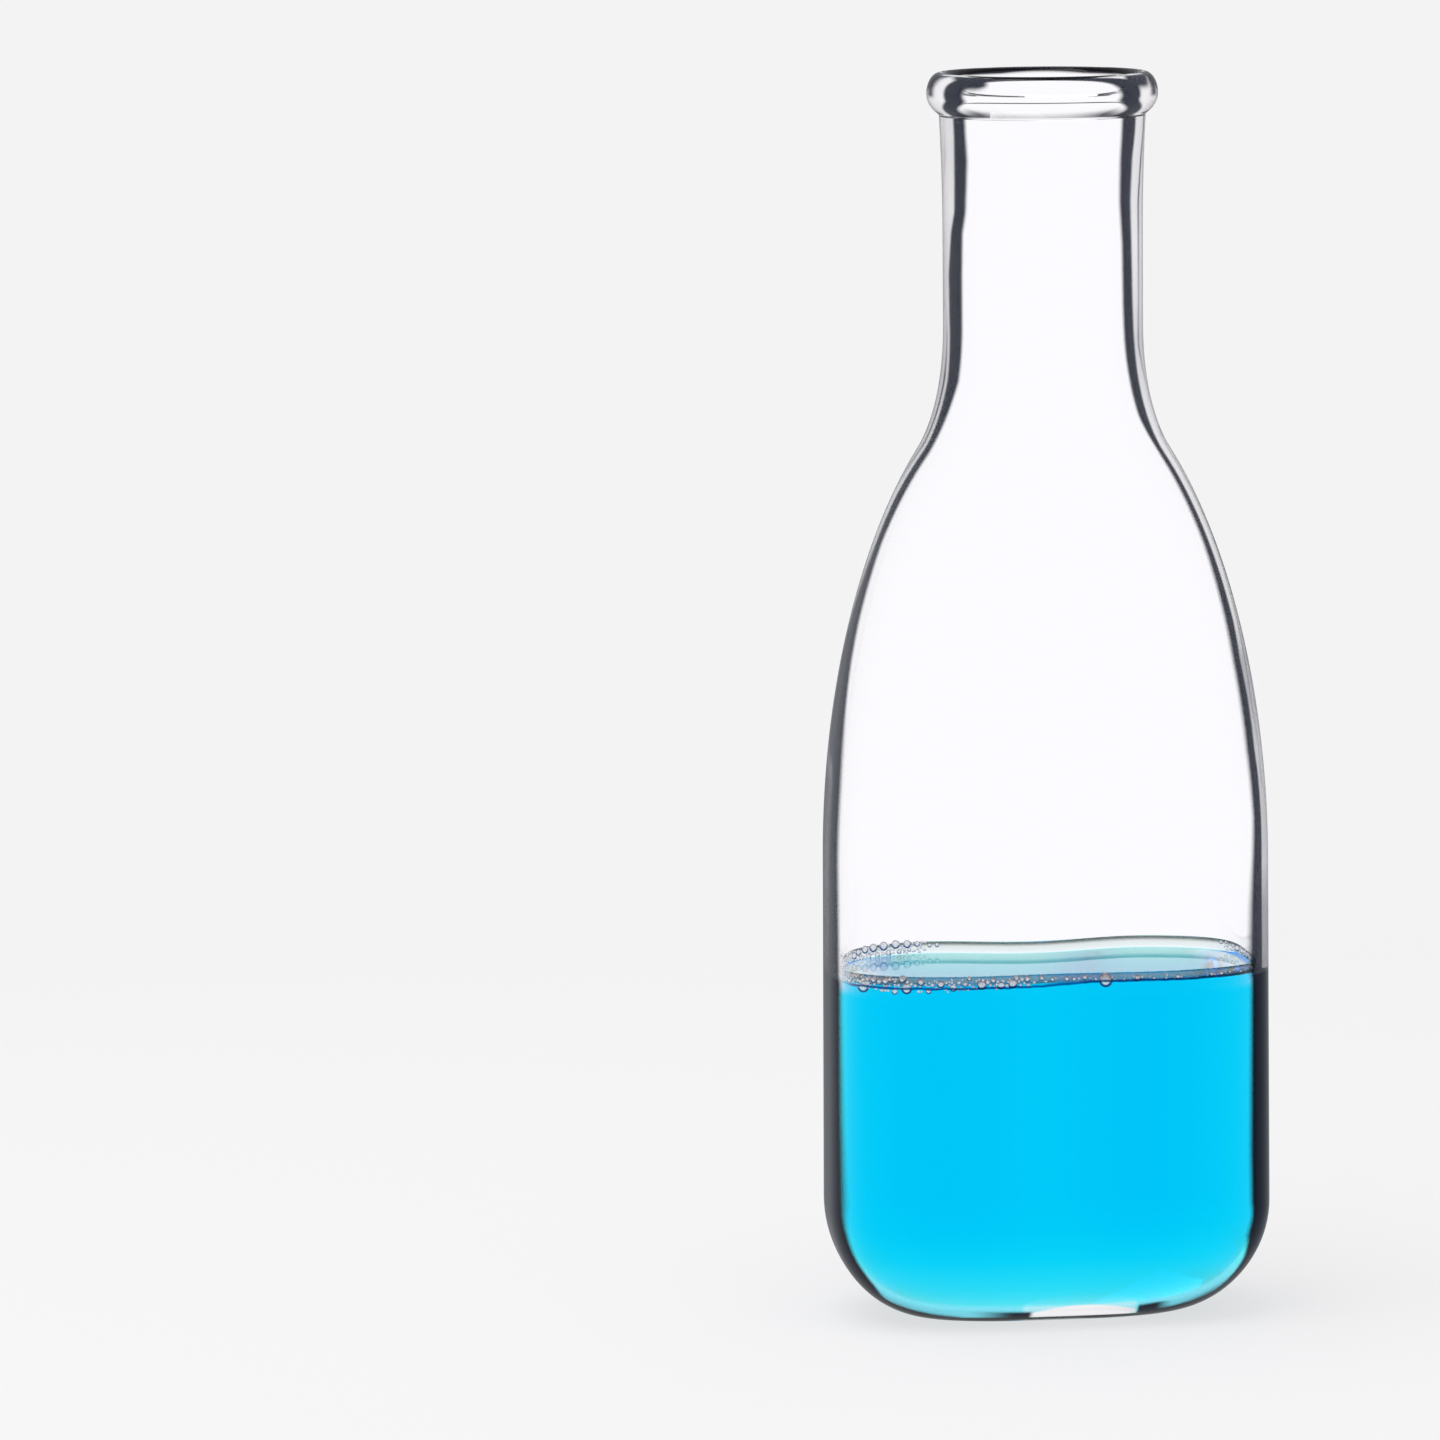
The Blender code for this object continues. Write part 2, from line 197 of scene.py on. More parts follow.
def inner_wall(line, wall):
    """Rings of the inside of the wall, the outer line drawn in by the wall square to its slope."""
    rings = []
    for i, (height, half_width, half_depth) in enumerate(line):
        below = line[max(i - 1, 0)]
        above = line[min(i + 1, len(line) - 1)]
        slope = (above[1] - below[1]) / (above[0] - below[0])
        depth_slope = (above[2] - below[2]) / (above[0] - below[0])
        rings.append(section(height, half_width - wall * math.hypot(1.0, slope),
                             half_depth - wall * math.hypot(1.0, depth_slope)))
    return rings


def lip_profile(steps_under, steps_crest, steps_throat):
    """Rings over the rolled lip, from the crease outside to the bore inside, and how many lie outside."""
    crease = neck_radius(LIP_FOOT)
    widest = LIP_DIAMETER / 2.0
    mouth = MOUTH_DIAMETER / 2.0
    crest = (widest + mouth) / 2.0
    widest_height = HEIGHT - LIP_CREST_HEIGHT
    bore = crease - WALL
    places = []
    for i in range(1, steps_under):
        share = i / steps_under
        places.append((LIP_FOOT + (widest_height - LIP_FOOT) * share,
                       widest - (widest - crease) * (1.0 - share) ** LIP_UNDERCUT_POWER))
    for i in range(steps_crest + 1):
        angle = 0.5 * math.pi * i / steps_crest
        places.append((widest_height + LIP_CREST_HEIGHT * math.sin(angle),
                       crest + (widest - crest) * math.cos(angle)))
    outside = len(places)
    for i in range(1, steps_crest + 1):
        angle = 0.5 * math.pi * i / steps_crest
        places.append((widest_height + LIP_CREST_HEIGHT * math.cos(angle),
                       crest - (crest - mouth) * math.sin(angle)))
    for i in range(1, steps_throat):
        share = i / steps_throat
        places.append((widest_height + (LIP_FOOT - widest_height) * share,
                       mouth + (bore - mouth) * ease(share)))
    return [(height, radius, radius, ROUND_EXPONENT, 0.0) for height, radius in places], outside


def ring_point(ring, turn):
    """Point of a ring at a turn about +Z from +X. Hollow faces sink along Y between the two edges."""
    height, half_width, half_depth, exponent, hollow = ring
    cosine = math.cos(turn)
    sine = math.sin(turn)
    size = (abs(cosine) ** exponent + abs(sine) ** exponent) ** (1.0 / exponent)
    x = half_width * cosine / size
    y = half_depth * sine / size
    if abs(x) < HOLLOW_HALF_WIDTH:
        sink = REAR_HOLLOW if sine > 0.0 else FRONT_HOLLOW
        shape = math.cos(0.5 * math.pi * x / HOLLOW_HALF_WIDTH) ** 2
        y -= math.copysign(sink * hollow * shape * min(abs(sine) / size, 1.0), sine)
    return (x, y, height)


def loft(name, rings, start_height, end_height, materials, first_skin):
    """Closed skin through rings, with a middle point at each end. The bands up to first_skin wear the first
    material and the rest the last."""
    points = [ring_point(ring, 2.0 * math.pi * i / RING_POINTS) for ring in rings for i in range(RING_POINTS)]
    start = len(points)
    points += [(0.0, 0.0, start_height), (0.0, 0.0, end_height)]
    top = (len(rings) - 1) * RING_POINTS
    faces = []
    skins = []
    for band in range(len(rings) - 1):
        low = band * RING_POINTS
        high = low + RING_POINTS
        for i in range(RING_POINTS):
            j = (i + 1) % RING_POINTS
            faces.append((low + i, low + j, high + j, high + i))
            skins.append(0 if band < first_skin else len(materials) - 1)
    for i in range(RING_POINTS):
        j = (i + 1) % RING_POINTS
        faces += [(start, j, i), (start + 1, top + i, top + j)]
        skins += [0, len(materials) - 1]
    mesh = bpy.data.meshes.new(name)
    mesh.from_pydata(points, [], faces)
    mesh.polygons.foreach_set("material_index", skins)
    mesh.shade_smooth()
    for material in materials:
        mesh.materials.append(material)
    obj = bpy.data.objects.new(name, mesh)
    bpy.context.scene.collection.objects.link(obj)
    return obj


def new_material(name):
    """Material with an empty node tree but for its Principled shader and output."""
    material = bpy.data.materials.new(name)
    material.use_nodes = True
    return material, material.node_tree, material.node_tree.nodes["Principled BSDF"]


def add_node(tree, kind, **settings):
    """Node of a kind with its settings."""
    node = tree.nodes.new(kind)
    for key, value in settings.items():
        setattr(node, key, value)
    return node


def feed(tree, value, socket):
    """Give a socket a number, a colour of three numbers, or the output of another node."""
    if isinstance(value, bpy.types.NodeSocket):
        tree.links.new(value, socket)
    elif isinstance(value, tuple):
        socket.default_value = (*value, 1.0)
    else:
        socket.default_value = value


def maths(tree, operation, *values):
    """Result of a sum on numbers and outputs."""
    node = add_node(tree, "ShaderNodeMath", operation=operation)
    for value, socket in zip(values, node.inputs):
        feed(tree, value, socket)
    return node.outputs["Value"]


def ramp(tree, stops, source):
    """Colour ramp with (place, (r, g, b)) stops, fed by a value."""
    node = add_node(tree, "ShaderNodeValToRGB")
    elements = node.color_ramp.elements
    while len(elements) < len(stops):
        elements.new(0.5)
    for element, (place, colour) in zip(elements, stops):
        element.position = place
        element.color = (*colour, 1.0)
    feed(tree, source, node.inputs["Fac"])
    return node.outputs["Color"]


def fade(tree, source, span):
    """0 at the span's first place and 1 at its second, smooth between."""
    node = add_node(tree, "ShaderNodeMapRange", interpolation_type="SMOOTHSTEP")
    feed(tree, span[0], node.inputs["From Min"])
    feed(tree, span[1], node.inputs["From Max"])
    feed(tree, source, node.inputs["Value"])
    return node.outputs["Result"]


def window(tree, source, places):
    """0 outside the outer two places, 1 between the inner two."""
    return maths(tree, "MULTIPLY", fade(tree, source, places[:2]), fade(tree, source, (places[3], places[2])))


MIX_SOCKETS = {"FLOAT": (2, 3, 0), "RGBA": (6, 7, 2)}


def mix(tree, kind, factor, first, second):
    """What lies between the first and the second, by a factor."""
    node = add_node(tree, "ShaderNodeMix", data_type=kind)
    low, high, out = MIX_SOCKETS[kind]
    feed(tree, factor, node.inputs[0])
    feed(tree, first, node.inputs[low])
    feed(tree, second, node.inputs[high])
    return node.outputs[out]


def mix_colours(tree, factor, first, second):
    """Colour between two colours."""
    return mix(tree, "RGBA", factor, first, second)


def mix_values(tree, factor, first, second):
    """Value between two values."""
    return mix(tree, "FLOAT", factor, first, second)


def object_place(tree):
    """Place of a point in the object: the vector, then its X, Y and Z."""
    place = add_node(tree, "ShaderNodeTexCoord").outputs["Object"]
    split = add_node(tree, "ShaderNodeSeparateXYZ")
    feed(tree, place, split.inputs["Vector"])
    return place, split.outputs["X"], split.outputs["Y"], split.outputs["Z"]


def surface_rise(tree):
    """Upward part of the surface's normal, 1 where it is level."""
    split = add_node(tree, "ShaderNodeSeparateXYZ")
    feed(tree, add_node(tree, "ShaderNodeNewGeometry").outputs["Normal"], split.inputs["Vector"])
    return split.outputs["Z"]


def edge_on(tree):
    """How far the surface is turned from the view, 0 square on and 1 edge-on."""
    weight = add_node(tree, "ShaderNodeLayerWeight")
    weight.inputs["Blend"].default_value = 0.5
    return weight.outputs["Facing"]


def finish_clear(shader, ior):
    """Polished and clear right through, with no extra gloss square on."""
    shader.inputs["Specular Tint"].default_value = (0.0, 0.0, 0.0, 1.0)
    shader.inputs["Roughness"].default_value = 0.0
    shader.inputs["IOR"].default_value = ior
    shader.inputs["Transmission Weight"].default_value = 1.0


WAVE_DETAIL = 1.5
WAVE_DEPTH = 0.0002


def make_glass_waves():
    """Group: faint waves that blowing leaves in a glass surface, long along the bottle, as a height."""
    group = bpy.data.node_groups.new("blown_waves", "ShaderNodeTree")
    for label in ("Stretch", "Size"):
        group.interface.new_socket(name=label, in_out="INPUT", socket_type="NodeSocketFloat")
    group.interface.new_socket(name="Height", in_out="OUTPUT", socket_type="NodeSocketFloat")
    put_in = add_node(group, "NodeGroupInput").outputs
    put_out = add_node(group, "NodeGroupOutput").inputs
    scale = add_node(group, "ShaderNodeCombineXYZ")
    scale.inputs["X"].default_value = 1.0
    scale.inputs["Y"].default_value = 1.0
    feed(group, put_in["Stretch"], scale.inputs["Z"])
    stretched = add_node(group, "ShaderNodeVectorMath", operation="MULTIPLY")
    feed(group, add_node(group, "ShaderNodeTexCoord").outputs["Object"], stretched.inputs[0])
    feed(group, scale.outputs["Vector"], stretched.inputs[1])
    noise = add_node(group, "ShaderNodeTexNoise")
    noise.inputs["Detail"].default_value = WAVE_DETAIL
    feed(group, stretched.outputs["Vector"], noise.inputs["Vector"])
    feed(group, put_in["Size"], noise.inputs["Scale"])
    feed(group, noise.outputs["Fac"], put_out["Height"])
    return group


glass_waves = make_glass_waves()


def wave_normal(tree, shader, strength, stretch, size):
    """Faint blown waves on a shader's normal."""
    waves = add_node(tree, "ShaderNodeGroup", node_tree=glass_waves)
    waves.inputs["Stretch"].default_value = stretch
    waves.inputs["Size"].default_value = size
    bump = add_node(tree, "ShaderNodeBump")
    bump.inputs["Strength"].default_value = strength
    bump.inputs["Distance"].default_value = WAVE_DEPTH
    feed(tree, waves.outputs["Height"], bump.inputs["Height"])
    feed(tree, bump.outputs["Normal"], shader.inputs["Normal"])


RIM_SOFTNESS = 0.03


def make_edge_lines():
    """Group: the painted shade of a glass wall where it turns edge-on, as a light value. A painted dark band
    runs from Start to End and a thin painted dark line lies in the lighter rim beyond it."""
    group = bpy.data.node_groups.new("edge_lines", "ShaderNodeTree")
    for label in ("Facing", "Start", "End", "Rim", "Line", "Line Depth", "Softness", "Line Reach"):
        group.interface.new_socket(name=label, in_out="INPUT", socket_type="NodeSocketFloat")
    group.interface.new_socket(name="Light", in_out="OUTPUT", socket_type="NodeSocketFloat")
    put_in = add_node(group, "NodeGroupInput").outputs
    put_out = add_node(group, "NodeGroupOutput").inputs

    def step(centre, softness):
        """0 before a place and 1 past it, as the wall turns edge-on."""
        span = (maths(group, "SUBTRACT", centre, softness), maths(group, "ADD", centre, softness))
        return fade(group, put_in["Facing"], span)

    away = maths(group, "ABSOLUTE", maths(group, "SUBTRACT", put_in["Facing"], put_in["Line"]))
    near = fade(group, away, (put_in["Line Reach"], 0.0))
    line = maths(group, "SUBTRACT", 1.0, maths(group, "MULTIPLY", near, put_in["Line Depth"]))
    lit = maths(group, "MULTIPLY", put_in["Rim"], line)
    rim = maths(group, "MULTIPLY", step(put_in["End"], RIM_SOFTNESS), lit)
    band = step(put_in["Start"], put_in["Softness"])
    dark = maths(group, "MULTIPLY", band, maths(group, "SUBTRACT", 1.0, rim))
    feed(group, maths(group, "SUBTRACT", 1.0, dark), put_out["Light"])
    return group


edge_lines = make_edge_lines()


def edge_light(tree, facing, settings):
    """Painted light of the edge lines, with each setting a number or an output."""
    lines = add_node(tree, "ShaderNodeGroup", node_tree=edge_lines)
    feed(tree, facing, lines.inputs["Facing"])
    for name, value in settings.items():
        feed(tree, value, lines.inputs[name])
    return lines.outputs["Light"]


# Painted shade of the wetted wall, dark to its very edge: height in mm, where the painted dark starts and how
# softly.
LEFT_WET = (
    (2.0, 0.86, 0.03), (3.0, 0.79, 0.03), (5.0, 0.70, 0.03), (8.0, 0.59, 0.03), (11.0, 0.55, 0.04),
    (18.0, 0.51, 0.07), (24.0, 0.49, 0.13), (43.0, 0.54, 0.11), (62.0, 0.56, 0.09), (67.4, 0.56, 0.08))
RIGHT_WET = (
    (2.0, 0.85, 0.03), (3.0, 0.76, 0.03), (6.0, 0.71, 0.03), (9.5, 0.66, 0.03), (12.0, 0.61, 0.04),
    (17.0, 0.43, 0.05), (23.0, 0.36, 0.05), (33.0, 0.35, 0.05), (67.4, 0.37, 0.05))

# Painted shade of the dry wall: height in mm, where the painted dark band starts and ends, the light of the
# rim beyond it, the thin painted line's place and depth, and how softly the band starts.
LEFT_DRY = (
    (67.8, 0.60, 0.87, 0.12, 0.88, 0.5, 0.06), (90.0, 0.62, 0.84, 0.20, 0.87, 0.4, 0.07),
    (105.0, 0.60, 0.82, 0.24, 0.87, 0.7, 0.07), (113.0, 0.62, 0.91, 0.70, 0.90, 0.0, 0.07),
    (121.0, 0.66, 0.90, 0.66, 0.90, 0.0, 0.05), (128.0, 0.69, 0.91, 0.72, 0.90, 0.0, 0.05),
    (136.0, 0.70, 0.88, 0.76, 0.90, 0.0, 0.05), (151.0, 0.67, 0.82, 0.82, 0.90, 0.0, 0.05),
    (159.0, 0.61, 0.79, 0.85, 0.90, 0.0, 0.04), (170.0, 0.54, 0.67, 0.70, 0.77, 0.8, 0.04),
    (182.0, 0.41, 0.61, 0.60, 0.70, 1.0, 0.03), (194.0, 0.41, 0.65, 0.70, 0.73, 0.2, 0.03),
    (202.0, 0.41, 0.66, 0.68, 0.90, 0.0, 0.03), (210.0, 0.40, 0.60, 0.76, 0.90, 0.0, 0.03),
    (214.0, 0.36, 0.53, 0.82, 0.90, 0.0, 0.03), (224.0, 0.33, 0.51, 0.76, 0.72, 0.3, 0.03),
    (229.0, 0.34, 0.50, 0.76, 0.70, 0.1, 0.03))
RIGHT_DRY = (
    (67.8, 0.34, 0.60, 0.30, 0.90, 0.0, 0.06), (81.0, 0.36, 0.60, 0.37, 0.90, 0.0, 0.06),
    (89.0, 0.39, 0.60, 0.60, 0.90, 0.0, 0.05), (98.0, 0.42, 0.61, 0.57, 0.90, 0.0, 0.05),
    (105.0, 0.41, 0.60, 0.57, 0.70, 0.3, 0.05), (111.0, 0.40, 0.57, 0.60, 0.72, 0.3, 0.05),
    (120.0, 0.41, 0.58, 0.45, 0.67, 0.3, 0.05), (128.0, 0.42, 0.57, 0.44, 0.72, 0.5, 0.05),
    (135.0, 0.45, 0.63, 0.75, 0.77, 0.6, 0.05), (143.0, 0.48, 0.64, 0.80, 0.79, 0.2, 0.05),
    (151.0, 0.51, 0.64, 0.85, 0.90, 0.0, 0.05), (163.0, 0.52, 0.63, 0.90, 0.79, 0.2, 0.04),
    (169.0, 0.52, 0.62, 0.90, 0.79, 0.3, 0.03), (175.0, 0.45, 0.61, 0.88, 0.90, 0.0, 0.03),
    (188.0, 0.42, 0.59, 0.69, 0.69, 0.7, 0.03), (197.0, 0.40, 0.56, 0.80, 0.71, 0.5, 0.03),
    (208.0, 0.39, 0.54, 0.88, 0.71, 0.7, 0.03), (216.0, 0.36, 0.52, 0.83, 0.70, 0.9, 0.03),
    (224.0, 0.36, 0.54, 0.82, 0.76, 0.9, 0.03), (229.0, 0.37, 0.58, 0.83, 0.82, 0.9, 0.03))
LINE_REACH = 0.05
PAST_EDGE = 1.2
NO_LINE = 0.9


def side_light(tree, facing, share, wet, dry):
    """Painted light of one side's edge, with the lines' settings read off its tables at a share of the
    height.
    """
    rows = tuple((height, start, PAST_EDGE, 0.0, NO_LINE, 0.0, soft) for height, start, soft in wet) + dry
    settings = {"Line Reach": LINE_REACH}
    for first, names in ((1, ("Start", "End", "Rim")), (4, ("Line", "Line Depth", "Softness"))):
        stops = [(row[0] * 0.001 / HEIGHT, row[first:first + 3]) for row in rows]
        split = add_node(tree, "ShaderNodeSeparateColor")
        feed(tree, ramp(tree, stops, share), split.inputs["Color"])
        settings.update(zip(names, split.outputs))
    return edge_light(tree, facing, settings)


SIDES_MEET = (-0.006, 0.006)
BROAD_REACH = (0.035, 0.028)
BROAD_TOP = (0.135, 0.105)
BROAD_LINES = {"Start": 0.68, "End": 0.86, "Rim": 0.5, "Line": NO_LINE, "Line Depth": 0.0, "Softness": 0.08,
               "Line Reach": LINE_REACH}


def wall_light(tree, facing, x, across, z):
    """Painted light and shade of the wall: a table for each side, and a plainer rule on the broad faces."""
    share = maths(tree, "DIVIDE", z, HEIGHT)
    left = side_light(tree, facing, share, LEFT_WET, LEFT_DRY)
    right = side_light(tree, facing, share, RIGHT_WET, RIGHT_DRY)
    sides = mix_values(tree, fade(tree, x, SIDES_MEET), left, right)
    broad = maths(tree, "MULTIPLY", fade(tree, across, BROAD_REACH), fade(tree, z, BROAD_TOP))
    return mix_values(tree, broad, sides, edge_light(tree, facing, BROAD_LINES))


# Settings of the painted shade on the rolled lip.
LIP_LINES = {"Rim": 0.92, "Line": 0.74, "Softness": 0.03, "Line Reach": 0.15}
LIP_START = (0.27, 0.56)
LIP_END = (0.475, 0.72)
UNDERCUT_RISE = (-0.10, -0.8)
SPOT_HEIGHT = (HEIGHT - 0.0048, HEIGHT - 0.0038)
SPOT_REACH = (0.0180, 0.0192)
ARC_RISE = (0.12, 0.40)
ARC_REACH = (0.0125, 0.0140, 0.0178, 0.0192)
ARC_FACING = (0.13, 0.22)
CREST_RISE = (0.84, 0.95)


def lip_light(tree, facing, across, z):
    """Painted light of the rolled lip: two painted dark arcs up from the crease, a painted dark spot at each
    end, a clear crest.
    """
    rise = surface_rise(tree)
    undercut = fade(tree, rise, UNDERCUT_RISE)
    spots = maths(tree, "MULTIPLY", fade(tree, z, SPOT_HEIGHT), fade(tree, across, SPOT_REACH))
    lines = edge_light(tree, facing, {**LIP_LINES, "Start": mix_values(tree, undercut, *LIP_START),
                                      "End": mix_values(tree, undercut, *LIP_END), "Line Depth": spots})
    arcs = maths(tree, "MULTIPLY", window(tree, across, ARC_REACH), fade(tree, facing, ARC_FACING))
    upper = maths(tree, "MULTIPLY", fade(tree, rise, ARC_RISE), arcs)
    return mix_values(tree, fade(tree, rise, CREST_RISE), mix_values(tree, upper, lines, 0.0), 1.0)


SLIVER_MIDDLE = 0.0046
SLIVER_BOW = 15.0
SLIVER_REACH = (-0.0072, -0.0062, 0.0150, 0.0160)
SLIVER_LIGHT = 0.97
FOOT_TOP = (0.0046, 0.0040)


def sliver_mask(tree, x, z):
    """Bowed sliver at the foot of the front, painted light where the pushed-up base lets the pale floor show
    through.
    """
    aside = maths(tree, "SUBTRACT", x, SLIVER_MIDDLE)
    bow = maths(tree, "MULTIPLY_ADD", maths(tree, "MULTIPLY", aside, aside), SLIVER_BOW, z)
    return maths(tree, "MULTIPLY", fade(tree, bow, FOOT_TOP), window(tree, x, SLIVER_REACH))


# Painted shade of the dark wedges at the ends of the sliver.
WEDGES = ((-0.0190, -0.0085, -0.0062, -0.0050), (0.0148, 0.0156, 0.0185, 0.0225))
WEDGE_LINES = {"Start": 0.50, "End": 0.72, "Rim": 0.95, "Line": NO_LINE, "Line Depth": 0.0, "Softness": 0.04,
               "Line Reach": LINE_REACH}


def with_wedges(tree, facing, x, z, light):
    """A light with the painted dark wedge that lies at either end of the sliver."""
    dark = edge_light(tree, facing, WEDGE_LINES)
    low = fade(tree, z, FOOT_TOP)
    for places in WEDGES:
        light = mix_values(tree, maths(tree, "MULTIPLY", window(tree, x, places), low), light, dark)
    return light


GLASS_IOR = 1.47
CLEAR = (1.0, 1.0, 1.0)
# Painted shade on the glass: slate on the dry wall and navy on the wetted wall.
SLATE = (0.045, 0.05, 0.065)
NAVY = (0.004, 0.006, 0.016)
WET_TOP = 0.0676
WET_LINE = (WET_TOP - 0.0003, WET_TOP + 0.0003)
WET_CLEAR = (0.3, 0.985, 1.0)
# Painted reflection of the room, which pales the wetted wall towards its foot.
WET_PALE = (0.45, 0.90, 0.97)
WET_PALE_HEIGHT = (0.016, 0.006)
WET_FADE = (WET_TOP - 0.0030, WET_TOP - 0.0016)
CREASE_SPAN = (LIP_FOOT - 0.0004, LIP_FOOT + 0.0004)


def make_outer_glass():
    """Outer skin: clear, with painted dark lines in its colour where the glass wall turns edge-on."""
    material, tree, shader = new_material("outer_glass")
    facing = edge_on(tree)
    place, x, y, z = object_place(tree)
    across = maths(tree, "ABSOLUTE", x)
    wall = wall_light(tree, facing, x, across, z)
    light = mix_values(tree, fade(tree, z, CREASE_SPAN), wall, lip_light(tree, facing, across, z))
    sliver = sliver_mask(tree, x, z)
    light = with_wedges(tree, facing, x, z, mix_values(tree, sliver, light, SLIVER_LIGHT))
    # Wetted wall, with the painted reflection towards its foot.
    wet = mix_colours(tree, fade(tree, z, WET_PALE_HEIGHT), WET_CLEAR, WET_PALE)
    clear = mix_colours(tree, fade(tree, z, WET_FADE), mix_colours(tree, sliver, wet, CLEAR), CLEAR)
    # Painted shade: the colour turns navy or slate as the painted light falls.
    dark = mix_colours(tree, fade(tree, z, WET_LINE), NAVY, SLATE)
    look = mix_colours(tree, light, dark, clear)
    squared = add_node(tree, "ShaderNodeVectorMath", operation="MULTIPLY")
    feed(tree, look, squared.inputs[0])
    feed(tree, look, squared.inputs[1])
    feed(tree, squared.outputs["Vector"], shader.inputs["Base Color"])
    finish_clear(shader, GLASS_IOR)
    wave_normal(tree, shader, strength=0.05, stretch=0.35, size=60.0)
    return material


INNER_CLEAR = (0.99, 0.995, 1.0)
# Painted shade: the dark crescent where the rolled lip turns in to the bore.
CRESCENT_DARK = (0.001, 0.001, 0.002)
CRESCENT_HEIGHT = (HEIGHT - 0.0016, HEIGHT - 0.0010)
CRESCENT_FACING = (0.10, 0.25)
CRESCENT_REACH = (-0.0155, -0.0120, 0.0150, 0.0200)


def make_inner_glass():
    """Inner skin: clear, but for a painted dark crescent where the rolled lip turns in to the bore."""
    material, tree, shader = new_material("inner_glass")
    place, x, y, z = object_place(tree)
    arc = maths(tree, "MULTIPLY", fade(tree, edge_on(tree), CRESCENT_FACING), window(tree, x, CRESCENT_REACH))
    crescent = maths(tree, "MULTIPLY", fade(tree, z, CRESCENT_HEIGHT), arc)
    feed(tree, mix_colours(tree, crescent, INNER_CLEAR, CRESCENT_DARK), shader.inputs["Base Color"])
    finish_clear(shader, GLASS_IOR)
    wave_normal(tree, shader, strength=0.08, stretch=0.3, size=45.0)
    return material


def make_bottle():
    """Skin up the outside, over the lip and down the inside, in one closed piece."""
    line = wall_outline(*WALL_STEPS)
    lip, lip_outside = lip_profile(*LIP_STEPS)
    rings = base_rings(0.0, 0.0) + heel_rings(0.0, 0.0) + [section(*point) for point in line]
    outer_bands = len(rings) + lip_outside
    rings += lip
    rings += reversed(inner_wall(line, WALL))
    rings += reversed(heel_rings(WALL, FLOOR))
    rings += reversed(base_rings(FLOOR, 0.0))
    skins = [make_outer_glass(), make_inner_glass()]
    return loft("blown_bottle", rings, PUSH_UP, FLOOR + PUSH_UP, skins, outer_bands)


bottle = make_bottle()
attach(bottle, "root")
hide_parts("glass_bottle")


# Culture medium. A clear, watery liquid dyed blue, poured in to a little over a quarter of the bottle's
# height. It wets the glass, so its edge climbs the wall in a meniscus.

MEDIUM_LEVEL = WET_TOP - 0.0002
MENISCUS_RISE = 0.0022
MENISCUS_FADE = 0.0003
MENISCUS_REACH = 0.0080
MENISCUS_STEPS = 30
MENISCUS_CROWDING = 1.6
MIDDLE_STEPS = 6
MEDIUM_WALL_STEPS = (24, 20, 4, 4)
RIM_TOP = MEDIUM_LEVEL + MENISCUS_RISE
RIM_LAND = 0.00005
RIM_GAP = 0.0005
FILM = 0.00003
MEDIUM_IOR = 1.335

# Painted shade of the front rim: it climbs from a painted dark line to painted grey, a little lower on the
# left. Seen from inside, its slope is painted grey too.
RIM_FOOT = MEDIUM_LEVEL - 0.0007
RIM_FOOT_LIFT = 0.0007
RIM_LIFT_REACH = (-0.006, 0.010)
RIM_UNEVEN = 0.0006
RIM_WOBBLE_SCALE = 420.0
NAVY_SPAN = (RIM_FOOT - 0.00012, RIM_FOOT + 0.00012)
GREY_SPAN = (RIM_FOOT + 0.00035, RIM_FOOT + 0.0007)
RIM_NAVY = (0.004, 0.03, 0.16)
RIM_GREY = (0.97, 0.94, 0.96)
SLOPE_RISE = (-0.05, -0.12)
SLOPE_HEIGHT = (MEDIUM_LEVEL + 0.0002, MEDIUM_LEVEL + 0.0004)
SLOPE_GREY = (0.36, 0.285, 0.27)
FRONT_DEPTH = (-0.006, -0.013)

# Painted light and shade of the back rim: pale under a painted grey line.
BACK_DEPTH = (0.003, 0.009)
BACK_PALE_SPAN = (RIM_TOP - 0.0024, RIM_TOP - 0.0018)
BACK_PALE = (0.80, 0.84, 0.82)
BACK_GREY_SPAN = (RIM_TOP - 0.0011, RIM_TOP - 0.0002)
BACK_GREY = (0.13, 0.15, 0.14)

# Painted sheen: the level top is paler where it is seen at a low angle, most of all at its two ends.
WALL_RISE = (0.2, 0.5)
TOP_RISE = (0.5, 0.9)
LEVEL_RISE = (0.75, 0.99)
LOW_ANGLE = (0.64, 0.82)
TOP_HEIGHT = (0.060, 0.062)
# Painted sheen on the level top: a tint in its colour and a glow in its emission, stronger at its two ends.
TOP_TINT = (1.0, 0.58, 0.46)
TOP_SHEEN_GLOW = (0.08, 0.05, 0.03)
END_REACH = (0.029, 0.037)
END_TINT = (0.30, 0.14, 0.10)
END_SHEEN_GLOW = (0.36, 0.40, 0.40)

# Painted glow for the light that the pale floor sends up into the foot of the medium, by share of
# FOOT_LIGHT_TOP.
FOOT_LIGHT_TOP = 0.020
FOOT_LIGHT = (
    (0.15, (0.15, 0.19, 0.03)), (0.42, (0.042, 0.12, 0.02)), (0.70, (0.006, 0.035, 0.008)),
    (1.0, (0.0, 0.0, 0.0)))

DYE = (0.0, 0.92, 0.99, 1.0)
DYE_DENSITY = 150.0


